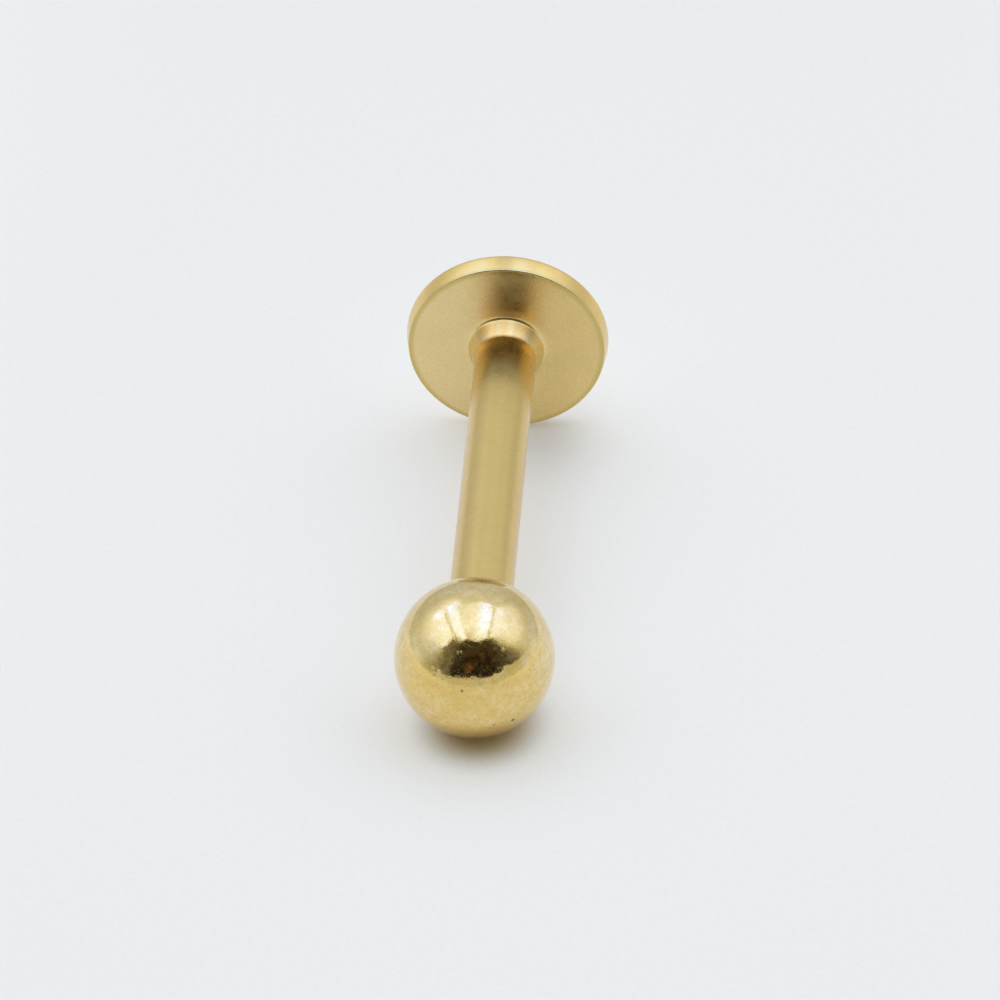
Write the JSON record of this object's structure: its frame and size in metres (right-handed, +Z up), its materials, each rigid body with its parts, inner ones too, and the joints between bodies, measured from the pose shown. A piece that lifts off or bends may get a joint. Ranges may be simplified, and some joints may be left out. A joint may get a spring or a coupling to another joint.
{
  "type": "labret stud",
  "caption": "Flat-back labret stud: a straight round post soldered to a thin flat disc at one end and closed by a small screw-on ball at the other.",
  "frame": {"origin": "centre of the bounding box at its lowest level, on the surface that the stud lies on", "axes": "+Z up from the surface, +Y along the stud from the ball to the disc, +X to the side; the post climbs 3.03 degrees from the ball to the disc because both touch the surface"},
  "size_m": [0.004, 0.0114, 0.004],
  "materials": {
    "disc_post": "surgical steel plated pale gold, softly polished, with fine turning and handling marks",
    "ball": "surgical steel plated pale gold, mirror polished, with hairline scratches and tiny pits"
  },
  "bodies": {
    "stud": {"disc_post": "disc_post"},
    "ball": {"ball": "ball"}
  },
  "joints": [
    {"name": "ball_unscrew", "type": "slide", "parent": "stud", "child": "ball", "axis": [0, -0.9986, -0.0529], "range_m": [0, 0.007]}
  ]
}
